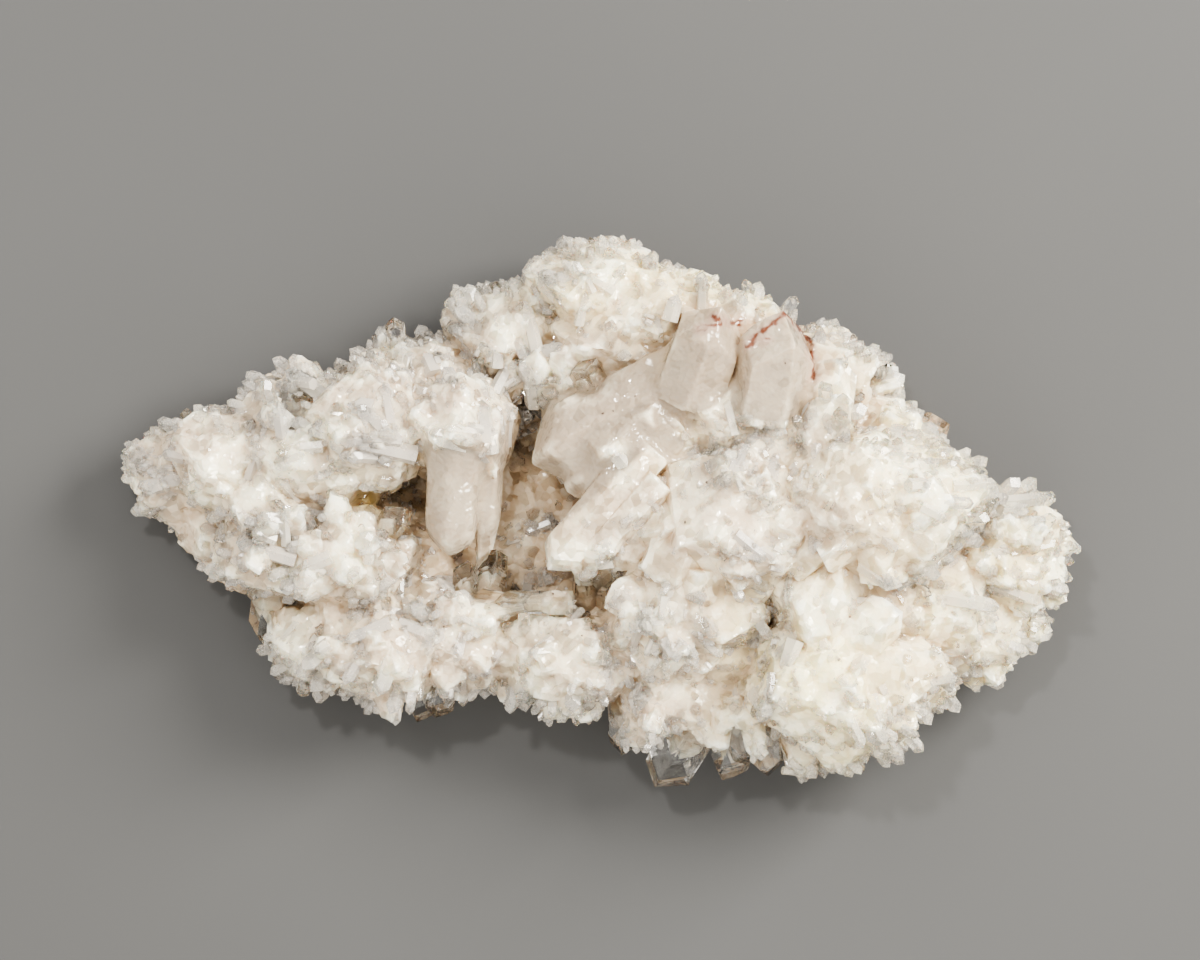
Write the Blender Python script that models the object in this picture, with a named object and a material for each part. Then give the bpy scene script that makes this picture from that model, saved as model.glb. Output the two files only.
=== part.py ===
"""A hand-sized cluster of clear quartz, grown as one piece.

Knobbly mounds of massive milky quartz make the body. Each mound bristles with crystals that radiate from its
heart, and large crystals stand out by themselves. Everything is fused into one closed solid that rests on a
flat broken base. X runs along the specimen, Y across it and Z up, and the origin is under the middle of it.
"""

import math
import random

import bmesh
import bpy
from mathutils import Matrix, Vector

MM = 0.001
NODE = "quartz_cluster"
SEED = 11

# The overall length and depth in millimetres. Every place and size below is in millimetres too.
LENGTH = 121.0
DEPTH = 69.0

# Quartz ends in faces whose normals lean this far from the crystal's long axis.
TIP_FACE_LEAN = math.radians(51.8)

# A lump of massive quartz has this many flat faces, each up to this share of its radius nearer the heart.
LUMP_FACES = 15
LUMP_SHARE = 0.12

# A crystal's tip stands at least this far above every mound, and this far from its neighbour's tip.
FREE_DEPTH = 0.5
FREE_SPACE = 3.2

# Mounds: name, centre, radii, number of crystals on the mound, the way they aim (turn from +X and rise above
# the horizon, in degrees), how far they spread round that aim, how far they stand out, and their width.
MOUNDS = (
    ("left_tip", (-53.5, 5.0, 6.0), (6.2, 5.8, 5.5), 3, (170, 35), 65, 1.6, 3.8),
    ("left_arm", (-45.0, 6.0, 8.5), (9.2, 7.0, 8.0), 4, (120, 60), 70, 1.8, 4.4),
    ("left_shoulder", (-36.0, 7.5, 9.5), (10.0, 9.5, 9.5), 4, (110, 60), 65, 2.7, 5.1),
    ("left_shelf", (-45.5, -2.5, 5.0), (7.5, 6.5, 4.8), 3, (215, 15), 50, 1.1, 4.1),
    ("left_heart", (-40.5, -3.5, 11.0), (7.0, 7.0, 7.0), 6, (200, 55), 70, 3.2, 4.3),
    ("left_corner", (-35.5, -16.0, 7.0), (6.0, 5.5, 6.5), 4, (235, 20), 60, 2.2, 4.3),
    ("left_rim", (-31.5, -6.0, 12.0), (8.0, 7.0, 7.5), 6, (250, 70), 70, 3.2, 4.3),
    ("left_mound", (-28.5, 10.0, 15.0), (7.5, 7.5, 7.5), 4, (120, 70), 65, 2.2, 4.9),
    ("left_front", (-27.5, -17.0, 10.5), (9.0, 6.3, 8.5), 6, (265, 50), 75, 3.0, 4.3),
    ("left_front_low", (-19.5, -15.0, 9.0), (8.0, 7.3, 8.0), 6, (285, 50), 70, 2.7, 4.3),
    ("ridge", (-22.0, 15.5, 9.0), (10.0, 5.0, 8.0), 4, (100, 45), 65, 1.9, 4.1),
    ("finger_mound", (-17.5, 10.0, 15.5), (7.0, 6.5, 8.0), 3, (150, 75), 60, 2.2, 4.6),
    ("top_slope", (-10.8, 21.5, 9.0), (8.8, 5.8, 8.5), 4, (125, 50), 65, 1.6, 4.3),
    ("top_lobe", (-0.5, 26.8, 12.0), (8.5, 6.0, 9.0), 6, (95, 50), 75, 1.9, 4.6),
    ("top_step", (8.0, 23.5, 14.0), (10.0, 5.0, 8.0), 6, (60, 60), 70, 2.2, 4.9),
    ("top_right", (16.5, 21.0, 13.0), (7.5, 5.5, 8.5), 3, (60, 50), 60, 1.6, 4.6),
    ("top_inner", (1.0, 20.5, 13.0), (8.5, 5.5, 8.0), 3, (280, 60), 55, 2.2, 4.3),
    ("middle", (5.0, 9.5, 12.5), (12.5, 8.5, 10.5), 3, (250, 65), 60, 2.2, 5.7),
    ("hollow_floor", (-9.0, -2.5, 3.5), (15.0, 12.0, 5.0), 2, (90, 80), 50, 1.4, 4.9),
    ("twin_mound", (18.0, 12.5, 15.0), (11.0, 9.0, 9.0), 4, (80, 60), 60, 2.2, 5.7),
    ("upper_right", (26.5, 16.5, 11.5), (8.5, 5.8, 10.0), 5, (55, 40), 70, 1.4, 4.8),
    ("upper_right_low", (35.2, 8.4, 11.0), (6.2, 5.0, 9.0), 3, (50, 40), 60, 1.4, 4.5),
    ("right_heart", (33.5, 0.2, 18.5), (12.6, 10.0, 11.5), 9, (60, 65), 80, 2.7, 6.8),
    ("centre_right", (17.0, -1.5, 17.0), (12.0, 9.5, 10.5), 6, (200, 70), 75, 2.7, 6.5),
    ("centre_front", (11.0, -11.5, 14.5), (10.0, 8.0, 9.0), 6, (240, 60), 70, 3.0, 5.4),
    ("front_step", (-3.0, -18.0, 11.0), (9.5, 6.0, 8.0), 6, (255, 50), 75, 2.7, 4.6),
    ("front_saddle", (-11.5, -16.8, 7.5), (8.0, 5.8, 6.5), 3, (270, 60), 60, 1.6, 4.0),
    ("front_low", (9.0, -22.5, 9.5), (8.0, 6.0, 7.5), 4, (262, 20), 55, 3.5, 5.1),
    ("front_right", (29.5, -20.5, 14.0), (12.0, 9.5, 11.0), 8, (285, 45), 75, 2.4, 6.8),
    ("front_right_edge", (20.0, -24.0, 9.0), (9.0, 6.3, 8.0), 4, (272, 15), 50, 2.4, 5.4),
    ("right_neck", (42.0, -11.0, 10.0), (7.5, 9.0, 8.0), 3, (320, 60), 55, 2.2, 4.9),
    ("right_fan", (50.0, -5.0, 9.0), (8.0, 7.5, 7.5), 9, (345, 25), 80, 2.7, 4.6),
    ("right_fan_low", (46.5, -14.2, 7.0), (7.0, 6.2, 6.5), 5, (325, 20), 65, 2.2, 4.1),
)

# Low masses of massive quartz that carry the mounds: name, centre and radii.
MASSES = (
    ("mass_left_tip", (-49.0, 3.5, 3.0), (8.0, 6.5, 7.0)),
    ("mass_left", (-39.0, 3.0, 3.0), (13.0, 10.0, 13.0)),
    ("mass_left_front", (-28.0, -9.0, 3.0), (12.5, 11.5, 11.0)),
    ("mass_hollow", (-10.0, 2.0, 0.0), (18.0, 17.0, 6.0)),
    ("mass_ridge", (-21.0, 12.0, 4.0), (12.0, 7.5, 12.0)),
    ("mass_top", (1.0, 20.0, 5.0), (15.0, 10.0, 13.0)),
    ("mass_centre", (20.0, 4.0, 6.0), (18.0, 15.0, 19.0)),
    ("mass_upper_right", (24.0, 12.0, 6.0), (13.0, 9.0, 14.5)),
    ("mass_right", (31.0, -8.0, 6.0), (15.0, 17.0, 18.0)),
    ("mass_front", (13.5, -15.0, 4.0), (16.0, 11.0, 15.0)),
    ("mass_front_step", (-4.0, -15.5, 2.0), (12.0, 7.0, 11.0)),
    ("mass_fan", (45.5, -8.5, 2.0), (11.0, 10.0, 10.0)),
)

# Crystals that stand out by themselves: name, middle of the root, tip, width, thickness as a share of the
# width, and the turn about the long axis in degrees.
CRYSTALS = (
    ("finger", (-17.8, 10.5, 20.0), (-19.1, -7.4, 17.0), 6.8, 0.90, 8),
    ("finger_mate", (-14.5, 6.0, 16.5), (-14.6, -4.2, 14.0), 4.2, 1.00, 25),
    ("slab", (13.0, 16.5, 20.0), (-10.0, 5.5, 17.5), 10.0, 0.70, 4),
    ("slab_mate", (10.0, 10.5, 20.5), (-5.5, 1.5, 18.0), 7.5, 0.70, 12),
    ("stained_left", (10.5, 13.0, 20.5), (14.8, 24.6, 25.5), 8.6, 0.90, 5),
    ("stained_right", (20.5, 11.0, 21.0), (22.5, 24.4, 26.0), 9.2, 0.90, 28),
    ("clear_point", (13.5, -23.5, 12.0), (6.7, -34.8, 8.0), 6.6, 0.90, 3),
    ("clear_point_mate", (17.5, -27.0, 9.5), (15.3, -33.7, 7.5), 4.6, 1.00, 20),
    ("front_tip_a", (3.5, -22.0, 11.0), (2.6, -30.6, 9.0), 4.0, 0.90, 10),
    ("front_tip_b", (6.2, -22.5, 11.5), (5.4, -29.8, 9.5), 3.6, 1.00, 40),
    ("front_prism_a", (19.5, -20.5, 16.5), (20.8, -33.2, 10.0), 4.6, 1.00, 12),
    ("front_prism_b", (16.8, -22.5, 15.0), (18.1, -31.5, 11.0), 3.8, 1.00, 50),
    ("front_prism_c", (24.0, -23.0, 15.0), (25.2, -33.4, 9.5), 5.4, 0.80, 22),
    ("front_prism_d", (29.0, -24.5, 14.0), (30.8, -33.2, 9.0), 6.0, 0.80, 35),
    ("front_prism_e", (34.0, -23.5, 13.0), (37.0, -31.0, 8.5), 5.6, 0.80, 5),
    ("bright_slab_a", (28.5, -15.5, 20.0), (29.8, -5.2, 24.5), 10.0, 0.70, 6),
    ("bright_slab_b", (29.5, -16.0, 21.0), (37.4, -12.6, 24.5), 7.0, 0.80, 18),
    ("bright_slab_c", (37.0, -18.5, 19.5), (23.6, -22.4, 20.0), 8.0, 0.65, 10),
    ("bright_slab_d", (28.0, -27.0, 16.0), (35.0, -23.8, 19.0), 4.6, 0.80, 30),
    ("centre_peak", (9.0, -8.0, 20.0), (12.0, -0.2, 24.5), 9.0, 0.85, 9),
    ("centre_gap_a", (20.5, -5.0, 22.0), (25.5, -0.5, 27.5), 5.4, 1.00, 15),
    ("centre_gap_b", (24.0, -7.0, 22.5), (28.6, -3.0, 26.5), 4.8, 1.00, 44),
    ("spur_long", (6.5, 7.5, 22.0), (-7.0, -7.9, 19.0), 5.6, 0.80, 5),
    ("spur_second", (7.5, 3.5, 22.0), (-2.7, -7.4, 19.0), 5.0, 0.90, 33),
    ("spur_third", (8.5, 0.0, 21.0), (1.3, -7.8, 18.5), 4.4, 1.00, 20),
    ("round_point", (-1.2, 15.3, 14.0), (-1.9, 16.5, 22.5), 4.2, 1.00, 0),
    ("hollow_point_a", (-7.0, 14.0, 13.0), (-8.3, 19.4, 19.5), 4.4, 1.00, 22),
    ("hollow_point_b", (-4.3, 14.0, 13.5), (-4.0, 20.4, 20.5), 5.0, 0.90, 50),
    ("hollow_point_c", (-12.0, 14.0, 12.0), (-10.4, 18.2, 18.0), 3.8, 1.00, 14),
    ("column_a", (-2.0, -12.5, 11.0), (-1.8, -6.0, 18.0), 3.2, 1.00, 10),
    ("column_b", (1.0, -12.5, 12.0), (0.9, -5.2, 18.0), 3.2, 1.00, 38),
    ("column_c", (5.0, -15.0, 13.0), (4.4, -10.2, 18.5), 3.4, 1.00, 24),
    ("lying_point", (-3.5, -11.6, 16.0), (-13.8, -11.4, 15.0), 3.0, 1.00, 6),
    ("little_point_a", (-14.8, -11.5, 11.0), (-13.0, -4.4, 15.0), 4.0, 1.00, 12),
    ("little_point_b", (-17.0, -12.0, 11.0), (-16.6, -6.0, 14.5), 3.4, 1.00, 42),
    ("little_point_c", (-27.5, -4.5, 14.0), (-24.4, 0.6, 18.0), 3.8, 1.00, 28),
    ("little_point_d", (-29.5, -5.0, 14.0), (-29.8, 0.2, 18.0), 3.4, 1.00, 5),
    ("window_point", (-41.0, 8.8, 13.0), (-35.4, 13.8, 17.0), 5.4, 0.80, 15),
    ("window_mate", (-43.0, 6.5, 13.5), (-37.0, 8.8, 17.0), 3.6, 1.00, 40),
    ("left_prism", (-41.3, -9.0, 9.5), (-42.7, -16.9, 7.0), 4.2, 1.00, 18),
    ("spike", (-25.3, 17.5, 11.0), (-26.0, 23.9, 12.5), 2.6, 1.00, 0),
    ("spike_mate", (-25.6, 18.2, 10.6), (-27.8, 22.6, 11.6), 2.2, 1.00, 30),
    ("low_twin_a", (-21.5, -19.0, 10.0), (-23.5, -26.4, 7.5), 4.0, 1.00, 11),
    ("low_twin_b", (-19.3, -19.0, 10.5), (-20.9, -25.9, 8.5), 3.8, 1.00, 47),
    ("edge_point_a", (29.5, 16.5, 12.5), (33.4, 20.8, 13.0), 4.8, 0.90, 26),
    ("edge_point_b", (30.5, 13.8, 13.5), (35.8, 16.0, 13.5), 5.6, 0.80, 7),
    ("pale_block", (27.0, 12.0, 19.5), (29.8, 18.8, 23.0), 7.0, 0.80, 16),
    ("pale_block_low", (26.5, 7.5, 22.0), (30.4, 14.2, 25.5), 6.2, 0.90, 36),
    ("upper_tip", (36.5, 7.2, 13.0), (44.0, 10.7, 14.0), 5.0, 0.90, 13),
    ("fan_tip_a", (50.0, -8.0, 9.5), (59.3, -11.3, 8.5), 3.2, 1.00, 9),
    ("fan_tip_b", (49.0, -11.0, 8.5), (56.7, -16.6, 7.0), 5.0, 0.80, 33),
    ("fan_tip_c", (50.0, -4.0, 10.0), (60.9, -4.5, 8.5), 5.6, 0.80, 20),
    ("fan_tip_d", (50.0, -1.5, 9.5), (57.6, 1.8, 8.5), 5.4, 0.80, 2),
)


def clear_scene():
    """Start from an empty file."""
    for item in list(bpy.data.objects):
        bpy.data.objects.remove(item, do_unlink=True)


def make_material():
    """Milky white quartz with a glassy shine."""
    material = bpy.data.materials.new("milky_quartz")
    material.use_nodes = True
    shader = material.node_tree.nodes["Principled BSDF"]
    shader.inputs["Base Color"].default_value = (0.78, 0.72, 0.65, 1.0)
    shader.inputs["Roughness"].default_value = 0.25
    shader.inputs["Metallic"].default_value = 0.0
    return material


def close_cut(mesh, cut):
    """Fill the opening that a cutting plane has left."""
    rim = [piece for piece in cut["geom_cut"] if isinstance(piece, bmesh.types.BMEdge)]
    if len(rim) > 2:
        bmesh.ops.edgeloop_fill(mesh, edges=rim)


def trim(mesh, point, normal):
    """Cut away everything past a plane and close the cut."""
    everything = mesh.verts[:] + mesh.edges[:] + mesh.faces[:]
    cut = bmesh.ops.bisect_plane(
        mesh, geom=everything, dist=1e-5, plane_co=point, plane_no=normal, clear_outer=True
    )
    close_cut(mesh, cut)


def place_along(root, tip, turn):
    """The move that carries a crystal from the Z axis to the line from root to tip."""
    aim = (tip - root).normalized()
    swing = aim.to_track_quat("Z", "Y").to_matrix().to_4x4()
    return Matrix.Translation(root) @ swing @ Matrix.Rotation(turn, 4, "Z")


def quartz_point(root, tip, width, thickness, turn, rng):
    """A six-sided prism that ends in three large and three small faces, as quartz does."""
    length = (tip - root).length
    radius = width / math.sqrt(3.0)
    apothem = width / 2.0
    mesh = bmesh.new()
    bmesh.ops.create_cone(
        mesh, cap_ends=True, segments=6, radius1=radius, radius2=radius * 0.86, depth=length * 1.3,
        matrix=Matrix.Translation((0.0, 0.0, length * 0.65)),
    )
    for side in range(6):
        azimuth = math.radians(30.0 + 60.0 * side)
        normal = Vector((math.cos(azimuth), math.sin(azimuth), 0.0)) * math.sin(TIP_FACE_LEAN)
        normal.z = math.cos(TIP_FACE_LEAN)
        if side % 2 == 0:
            height = length - rng.uniform(0.0, 0.30) * apothem
        else:
            height = length + rng.uniform(0.15, 0.60) * apothem
        trim(mesh, Vector((0.0, 0.0, height)), normal)
    bmesh.ops.scale(mesh, vec=(1.0, thickness, 1.0), verts=mesh.verts)
    bmesh.ops.transform(mesh, matrix=place_along(root, tip, turn), verts=mesh.verts)
    return mesh


def lump(centre, radii, rng):
    """A block with flat faces all round that touch a stretched ball."""
    mesh = bmesh.new()
    bmesh.ops.create_cube(mesh, size=2.2)
    bmesh.ops.rotate(mesh, verts=mesh.verts, matrix=Matrix.Rotation(rng.uniform(0, math.pi), 3, "Z"))
    for number in range(LUMP_FACES):
        height = 1.0 - 2.0 * (number + 0.5) / LUMP_FACES
        turn = number * math.pi * (3.0 - math.sqrt(5.0)) + rng.uniform(-0.4, 0.4)
        flat = math.sqrt(1.0 - height * height)
        normal = Vector((flat * math.cos(turn), flat * math.sin(turn), height))
        trim(mesh, normal * (1.0 - LUMP_SHARE * rng.random()), normal)
    bmesh.ops.scale(mesh, vec=radii, verts=mesh.verts)
    bmesh.ops.translate(mesh, vec=centre, verts=mesh.verts)
    return mesh


def skin_point(centre, radii, aim):
    """Where a line from a mound's heart leaves its skin."""
    reach = math.sqrt(sum((aim[axis] / radii[axis]) ** 2 for axis in range(3)))
    return centre + aim / reach


def aim_from(turn, rise):
    """The direction that turns from +X and rises above the horizon."""
    flat = math.cos(math.radians(rise))
    return Vector((
        flat * math.cos(math.radians(turn)),
        flat * math.sin(math.radians(turn)),
        math.sin(math.radians(rise)),
    ))


def is_clear(place, near):
    """True where a place stands free of every mound and of the tips that are already there."""
    for _, centre, radii, _, _, _, _, _ in MOUNDS:
        away = place - Vector(centre)
        if sum((away[axis] / (radii[axis] + FREE_DEPTH)) ** 2 for axis in range(3)) < 1.0:
            return False
    return all((place - other).length > FREE_SPACE for other in near)


def spray_aim(turn, rise, spread, rng):
    """One direction out of a fan round the given aim, never far below the horizon."""
    middle = aim_from(turn, rise)
    for _ in range(50):
        tilt = math.radians(spread) * math.sqrt(rng.random())
        roll = rng.uniform(0.0, 2.0 * math.pi)
        local = Vector((
            math.sin(tilt) * math.cos(roll),
            math.sin(tilt) * math.sin(roll),
            math.cos(tilt),
        ))
        aim = middle.to_track_quat("Z", "Y") @ local
        if aim.z > -0.15:
            return aim
    return middle


def new_object(name, mesh, collection):
    """Turn a worked mesh into an object, from millimetres to metres."""
    bmesh.ops.scale(mesh, vec=(MM, MM, MM), verts=mesh.verts)
    bmesh.ops.recalc_face_normals(mesh, faces=mesh.faces)
    data = bpy.data.meshes.new(name)
    mesh.to_mesh(data)
    mesh.free()
    item = bpy.data.objects.new(name, data)
    collection.objects.link(item)
    return item


def new_collection(name):
    """A collection linked to the scene."""
    collection = bpy.data.collections.new(name)
    bpy.context.scene.collection.children.link(collection)
    return collection


def hide_guide(item):
    """Show a piece that is only worked with as wire, and leave it out of pictures."""
    item.hide_render = True
    item.display_type = "WIRE"


def spray_point(entry, near, rng):
    """The aim and tip of one crystal on a mound, or nothing where there is no free place left."""
    _, centre, radii, _, aim, spread, stand_out, _ = entry
    for _ in range(60):
        line = spray_aim(aim[0], aim[1], spread, rng)
        tip = skin_point(Vector(centre), radii, line) + line * stand_out * rng.uniform(0.8, 1.3)
        if is_clear(tip, near):
            return line, tip
    return None


def grow_mound(entry, near, collection, rng):
    """A mound and the crystals that radiate from its heart."""
    name, centre, radii, count, _, _, _, width = entry
    grown = [new_object(name, lump(centre, radii, rng), collection)]
    for number in range(count):
        found = spray_point(entry, near, rng)
        if found is None:
            continue
        line, tip = found
        near.append(tip)
        wide = width * rng.uniform(0.8, 1.35)
        root = tip - line * wide * 2.0
        point = quartz_point(root, tip, wide, rng.uniform(0.8, 1.0), rng.uniform(0, math.pi), rng)
        grown.append(new_object(f"{name}_{number}", point, collection))
    return grown


def grow_crystal(entry, collection, rng):
    """One of the crystals that stand out by themselves."""
    name, root, tip, width, thickness, turn = entry
    point = quartz_point(Vector(root), Vector(tip), width, thickness, math.radians(turn), rng)
    return new_object(name, point, collection)


def ground_box(collection):
    """A box standing on the ground; what lies inside it is kept."""
    mesh = bmesh.new()
    bmesh.ops.create_cube(mesh, size=1.0)
    bmesh.ops.scale(mesh, vec=(LENGTH * 2.0, DEPTH * 2.0, 120.0), verts=mesh.verts)
    bmesh.ops.translate(mesh, vec=(0.0, 0.0, 60.0), verts=mesh.verts)
    return new_object("ground_box", mesh, collection)


def fuse(seed_piece, growth, box):
    """Join all the growth in one solid and break it off flat at the ground."""
    union = seed_piece.modifiers.new("join_growth", "BOOLEAN")
    union.operation = "UNION"
    union.operand_type = "COLLECTION"
    union.collection = growth
    flat = seed_piece.modifiers.new("flat_base", "BOOLEAN")
    flat.operation = "INTERSECT"
    flat.object = box
    graph = bpy.context.evaluated_depsgraph_get()
    return bpy.data.meshes.new_from_object(seed_piece.evaluated_get(graph))


def fit_to_size(mesh):
    """Centre the solid over the origin and bring it to its exact length and depth."""
    low = [min(vert.co[axis] for vert in mesh.verts) for axis in range(3)]
    high = [max(vert.co[axis] for vert in mesh.verts) for axis in range(3)]
    middle = Vector(((low[0] + high[0]) / 2.0, (low[1] + high[1]) / 2.0, low[2]))
    bmesh.ops.translate(mesh, vec=-middle, verts=mesh.verts)
    stretch = (LENGTH * MM / (high[0] - low[0]), DEPTH * MM / (high[1] - low[1]), 1.0)
    bmesh.ops.scale(mesh, vec=stretch, verts=mesh.verts)


def shell_from(start):
    """Every corner that can be reached along edges from one corner."""
    found = {start}
    waiting = [start]
    while waiting:
        corner = waiting.pop()
        for edge in corner.link_edges:
            other = edge.other_vert(corner)
            if other not in found:
                found.add(other)
                waiting.append(other)
    return found


def fill_hidden_gaps(mesh):
    """Keep the outer skin, so that the gaps shut in between crystals are solid quartz."""
    lowest = min(mesh.verts, key=lambda vert: vert.co.z)
    skin = shell_from(lowest)
    inner = [vert for vert in mesh.verts if vert not in skin]
    bmesh.ops.delete(mesh, geom=inner, context="VERTS")


def tidy(data):
    """Weld the joins of the fused mesh and cut its faces into triangles."""
    mesh = bmesh.new()
    mesh.from_mesh(data)
    fill_hidden_gaps(mesh)
    bmesh.ops.remove_doubles(mesh, verts=mesh.verts, dist=0.000001)
    fit_to_size(mesh)
    bmesh.ops.triangulate(mesh, faces=mesh.faces)
    mesh.to_mesh(data)
    mesh.free()


def build():
    """Grow the cluster and keep it as a single named object."""
    clear_scene()
    rng = random.Random(SEED)
    cluster = new_collection("clear_quartz_cluster")
    growth = new_collection("growth")
    for entry in CRYSTALS:
        hide_guide(grow_crystal(entry, growth, rng))
    near = [Vector(entry[2]) for entry in CRYSTALS]
    pieces = [new_object(name, lump(centre, radii, rng), growth) for name, centre, radii in MASSES]
    for entry in MOUNDS:
        pieces.extend(grow_mound(entry, near, growth, rng))
    for piece in pieces:
        hide_guide(piece)
    seed_piece = pieces[0]
    growth.objects.unlink(seed_piece)
    cluster.objects.link(seed_piece)
    box = ground_box(growth)
    hide_guide(box)
    growth.objects.unlink(box)
    tools = new_collection("tools")
    tools.objects.link(box)
    data = fuse(seed_piece, growth, box)
    tidy(data)
    data.name = NODE
    data.materials.clear()
    data.materials.append(make_material())
    solid = bpy.data.objects.new(NODE, data)
    cluster.objects.link(solid)
    bpy.data.objects.remove(seed_piece, do_unlink=True)
    return solid


build()
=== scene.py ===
# %% [markdown]
# # A cluster of clear quartz
# The object is one natural piece: massive milky quartz that bristles with crystals. The solid that comes with the
# frame has its mounds, hollows and large crystals. Here it gets what the eye sees next: the cloudy depth of the
# quartz, thousands of small crystals on it, clear points, rust in the cracks and warm shade in the hollows, painted
# into the colour.

import math
import random

import bmesh
import bpy
import numpy as np
from mathutils import Matrix, Vector
from mathutils.bvhtree import BVHTree
from mathutils.kdtree import KDTree
from mathutils.noise import noise as noise_at


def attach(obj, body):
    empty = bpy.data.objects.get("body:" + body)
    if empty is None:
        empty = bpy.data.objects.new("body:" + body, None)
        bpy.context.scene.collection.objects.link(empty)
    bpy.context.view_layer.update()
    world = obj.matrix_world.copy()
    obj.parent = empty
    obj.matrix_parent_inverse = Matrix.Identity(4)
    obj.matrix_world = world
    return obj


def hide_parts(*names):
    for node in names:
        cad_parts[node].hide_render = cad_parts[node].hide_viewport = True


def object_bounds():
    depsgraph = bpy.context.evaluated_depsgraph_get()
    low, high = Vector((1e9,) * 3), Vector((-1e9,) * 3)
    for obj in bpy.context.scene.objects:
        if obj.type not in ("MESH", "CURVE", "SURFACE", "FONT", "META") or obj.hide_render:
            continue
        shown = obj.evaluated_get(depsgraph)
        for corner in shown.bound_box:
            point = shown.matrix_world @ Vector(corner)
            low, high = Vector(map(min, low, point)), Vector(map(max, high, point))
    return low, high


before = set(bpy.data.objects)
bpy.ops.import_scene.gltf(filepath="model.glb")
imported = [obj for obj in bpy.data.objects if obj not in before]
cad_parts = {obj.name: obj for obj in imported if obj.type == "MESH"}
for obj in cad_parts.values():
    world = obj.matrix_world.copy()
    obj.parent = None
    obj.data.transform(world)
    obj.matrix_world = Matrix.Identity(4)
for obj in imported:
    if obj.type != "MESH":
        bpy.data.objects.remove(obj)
cad_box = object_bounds()
MM = 0.001
NODE = "quartz_cluster"
print("the solid's box in mm:", [[round(value / MM, 1) for value in corner] for corner in cad_box])

# %% [markdown]
# ## Camera
# The photograph looks straight down on the piece, so every crystal is seen against the body of the cluster. A long
# lens keeps the rims from leaning outwards. The picture is 1200 pixels wide and the scale is 8 pixels to the
# millimetre, so the view is 150 mm wide at the height of the crystals' skin.

# %% Camera
VIEW_WIDTH = 0.150
VIEW_DISTANCE = 0.70
SKIN_HEIGHT = 0.012
AIM = Vector((0.0, 0.0039, SKIN_HEIGHT))
LEAN = math.radians(2.0)

camera_data = bpy.data.cameras.new("camera")
camera_data.sensor_width = 36.0
camera_data.lens = 36.0 * VIEW_DISTANCE / VIEW_WIDTH
camera_data.clip_start = 0.01
camera = bpy.data.objects.new("camera", camera_data)
bpy.context.scene.collection.objects.link(camera)
camera.location = AIM + Vector((0.0, -math.sin(LEAN), math.cos(LEAN))) * VIEW_DISTANCE
camera.rotation_euler = (LEAN, 0.0, 0.0)
bpy.context.scene.camera = camera
print("lens in mm:", round(camera_data.lens, 1))

# %% [markdown]
# ## Materials are built from nodes
# A small helper adds a node, sets its values and joins it to others, so that each finish below reads as a list of
# what it is made of.


# %% Node helpers
def new_material(name):
    """A material with an empty node tree apart from its shader and output."""
    material = bpy.data.materials.new(name)
    material.use_nodes = True
    tree = material.node_tree
    return material, tree, tree.nodes["Principled BSDF"]


def add(tree, kind, values=None, links=None, **settings):
    """Add a node: settings are its properties, values its unlinked sockets, links its linked ones."""
    node = tree.nodes.new(kind)
    for name, value in settings.items():
        setattr(node, name, value)
    for socket, value in (values or {}).items():
        node.inputs[socket].default_value = value
    for socket, source in (links or {}).items():
        tree.links.new(source, node.inputs[socket])
    return node


def ramp(tree, source, stops):
    """A colour ramp through stops of (place, grey value or colour)."""
    node = add(tree, "ShaderNodeValToRGB", links={"Fac": source})
    elements = node.color_ramp.elements
    while len(elements) < len(stops):
        elements.new(0.5)
    for element, (place, colour) in zip(elements, stops):
        element.position = place
        if isinstance(colour, (int, float)):
            colour = (colour, colour, colour)
        element.color = (*colour, 1.0)
    return node.outputs["Color"]


def mix_colour(tree, share, first, second, blend="MIX"):
    """Mix two colours, each a socket or a fixed colour."""
    node = tree.nodes.new("ShaderNodeMix")
    node.data_type = "RGBA"
    node.blend_type = blend
    for index, value in ((0, share), (6, first), (7, second)):
        if isinstance(value, bpy.types.NodeSocket):
            tree.links.new(value, node.inputs[index])
        elif isinstance(value, (int, float)):
            node.inputs[index].default_value = value
        else:
            node.inputs[index].default_value = (*value, 1.0)
    return node.outputs[2]


def noise(tree, place, size, detail=3.0, roughness=0.5, kind="Fac"):
    """Cloudy noise whose patches are about the given size in metres."""
    node = add(
        tree, "ShaderNodeTexNoise",
        values={"Scale": 1.0 / size, "Detail": detail, "Roughness": roughness}, links={"Vector": place},
    )
    return node.outputs[kind]


def facet_height(tree, place, size, tilt):
    """Height of small flat faces about the given size across, each tilted its own way."""
    cells = add(tree, "ShaderNodeTexVoronoi", values={"Scale": 1.0 / size}, links={"Vector": place})
    away = add(tree, "ShaderNodeVectorMath", operation="SUBTRACT", links={0: place, 1: cells.outputs["Position"]})
    lean = add(tree, "ShaderNodeVectorMath", operation="MULTIPLY_ADD", links={0: cells.outputs["Color"]},
               values={1: (2.0, 2.0, 2.0), 2: (-1.0, -1.0, -1.0)})
    rise = add(tree, "ShaderNodeVectorMath", operation="DOT_PRODUCT",
               links={0: away.outputs[0], 1: lean.outputs[0]}).outputs["Value"]
    return do_math(tree, "MULTIPLY", rise, tilt)


def attribute(tree, name):
    """A value stored on the mesh."""
    return add(tree, "ShaderNodeAttribute", attribute_name=name).outputs["Fac"]


def do_math(tree, operation, first, second=None, third=None):
    """One sum on sockets or numbers."""
    node = tree.nodes.new("ShaderNodeMath")
    node.operation = operation
    for index, value in enumerate((first, second, third)):
        if isinstance(value, bpy.types.NodeSocket):
            tree.links.new(value, node.inputs[index])
        elif value is not None:
            node.inputs[index].default_value = value
    return node.outputs[0]


# %% [markdown]
# ## The sheet it lies on
# The quartz lies on a plain grey sheet. Only its colour, its fine grain and the shadow on it show, so a large flat
# plane does for it, and the paper's grain is a bump in its material.

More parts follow.
